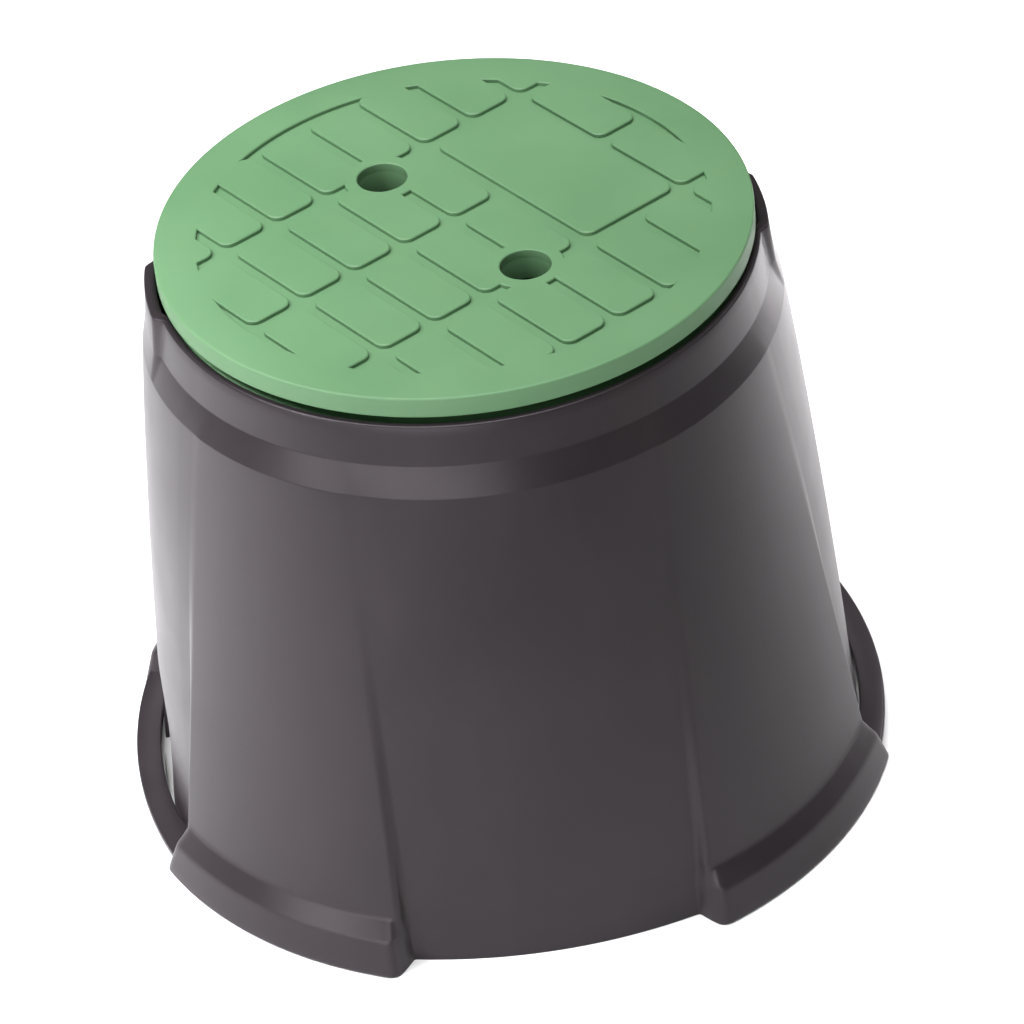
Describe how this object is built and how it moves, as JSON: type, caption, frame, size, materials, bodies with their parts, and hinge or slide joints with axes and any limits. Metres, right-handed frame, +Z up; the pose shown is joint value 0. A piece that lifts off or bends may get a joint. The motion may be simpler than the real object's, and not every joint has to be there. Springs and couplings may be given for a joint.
{
  "type": "manhole chamber",
  "caption": "Round moulded plastic valve chamber with flared walls, feet tied by straps over arched pipe entries, and a twist-lock lid with finger holes.",
  "frame": {"origin": "centre of the body at the ground, under its feet", "axes": "+Z up, +X towards one pipe entry, +Y towards a plain panel"},
  "size_m": [0.32, 0.3022, 0.26],
  "materials": {
    "black_plastic": "moulded polypropylene, black, satin",
    "green_plastic": "moulded polypropylene, green, fine grained"
  },
  "bodies": {
    "chamber": {"body": "black_plastic"},
    "cover": {"lid": "green_plastic"}
  },
  "joints": [
    {"name": "lid_twist", "type": "hinge", "parent": "chamber", "child": "cover", "pos_m": [0, 0, 0.2355], "axis": [0, 0, 1], "range_deg": [0, 30]}
  ]
}
